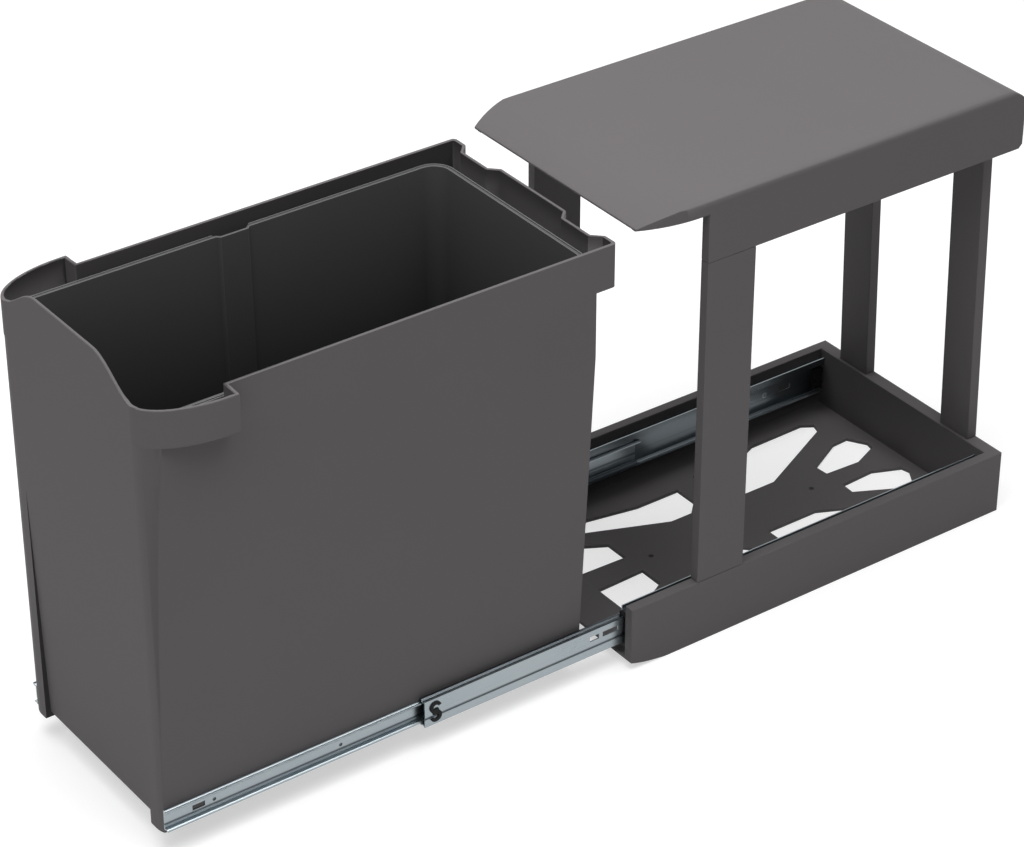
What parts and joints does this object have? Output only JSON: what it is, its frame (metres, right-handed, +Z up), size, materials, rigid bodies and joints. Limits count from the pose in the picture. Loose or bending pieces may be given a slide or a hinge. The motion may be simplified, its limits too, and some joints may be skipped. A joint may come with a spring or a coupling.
{
  "type": "pull-out bin frame",
  "caption": "Floor-mounted pull-out waste bin: base with ball-bearing slides, lid on posts, and a bin with lift-out bucket that rolls out to the front.",
  "frame": {"origin": "midway between the two floor screw holes on the underside of the base, which is the centre of the base footprint", "axes": "+X to the right seen from the front, +Y to the back of the cabinet, +Z up; the bin rolls out along -Y and is shown fully out"},
  "size_m": [0.2666, 0.9085, 0.4592],
  "materials": {
    "anthracite_plastic": "fine moulded grain, satin",
    "bucket_plastic": "smooth moulded, satin",
    "zinc_steel": "bright zinc plate, slightly blue",
    "black_plastic": "smooth moulded",
    "ball_steel": "polished"
  },
  "bodies": {
    "frame": {"base_frame": "anthracite_plastic", "front_left_post": "anthracite_plastic", "front_right_post": "anthracite_plastic", "rear_left_post": "anthracite_plastic", "rear_right_post": "anthracite_plastic", "lid": "anthracite_plastic", "post_screws": "zinc_steel", "left_cabinet_rail": "zinc_steel", "right_cabinet_rail": "zinc_steel", "cabinet_rail_screws": "zinc_steel", "left_rear_stop": "black_plastic", "right_rear_stop": "black_plastic", "left_mouth_guide": "black_plastic", "right_mouth_guide": "black_plastic"},
    "bin_carrier": {"bin": "anthracite_plastic", "left_drawer_rail": "zinc_steel", "right_drawer_rail": "zinc_steel", "drawer_rail_screws": "zinc_steel"},
    "bucket": {"inner_bucket": "bucket_plastic"},
    "left_middle_rail": {"left_mid_rail": "zinc_steel", "left_front_stop": "black_plastic"},
    "left_outer_bearing": {"left_outer_cage": "zinc_steel", "left_outer_balls": "ball_steel"},
    "left_inner_bearing": {"left_inner_cage": "zinc_steel", "left_inner_balls": "ball_steel"},
    "right_middle_rail": {"right_mid_rail": "zinc_steel", "right_front_stop": "black_plastic"},
    "right_outer_bearing": {"right_outer_cage": "zinc_steel", "right_outer_balls": "ball_steel"},
    "right_inner_bearing": {"right_inner_cage": "zinc_steel", "right_inner_balls": "ball_steel"}
  },
  "joints": [
    {"name": "bin_slide", "type": "slide", "parent": "frame", "child": "bin_carrier", "axis": [0, 1, 0], "range_m": [0, 0.438]},
    {"name": "bucket_lift", "type": "slide", "parent": "bin_carrier", "child": "bucket", "axis": [0, 0, 1], "range_m": [0, 0.012]},
    {"name": "left_middle_rail_slide", "type": "slide", "parent": "frame", "child": "left_middle_rail", "axis": [0, 1, 0], "range_m": [0, 0.219]},
    {"name": "left_outer_bearing_slide", "type": "slide", "parent": "frame", "child": "left_outer_bearing", "axis": [0, 1, 0], "range_m": [0, 0.1095]},
    {"name": "left_inner_bearing_slide", "type": "slide", "parent": "frame", "child": "left_inner_bearing", "axis": [0, 1, 0], "range_m": [0, 0.3285]},
    {"name": "right_middle_rail_slide", "type": "slide", "parent": "frame", "child": "right_middle_rail", "axis": [0, 1, 0], "range_m": [0, 0.219]},
    {"name": "right_outer_bearing_slide", "type": "slide", "parent": "frame", "child": "right_outer_bearing", "axis": [0, 1, 0], "range_m": [0, 0.1095]},
    {"name": "right_inner_bearing_slide", "type": "slide", "parent": "frame", "child": "right_inner_bearing", "axis": [0, 1, 0], "range_m": [0, 0.3285]}
  ],
  "couplings": [
    {"joint": "left_middle_rail_slide", "follows": "bin_slide", "ratio": 0.5},
    {"joint": "left_outer_bearing_slide", "follows": "bin_slide", "ratio": 0.25},
    {"joint": "left_inner_bearing_slide", "follows": "bin_slide", "ratio": 0.75},
    {"joint": "right_middle_rail_slide", "follows": "bin_slide", "ratio": 0.5},
    {"joint": "right_outer_bearing_slide", "follows": "bin_slide", "ratio": 0.25},
    {"joint": "right_inner_bearing_slide", "follows": "bin_slide", "ratio": 0.75}
  ]
}
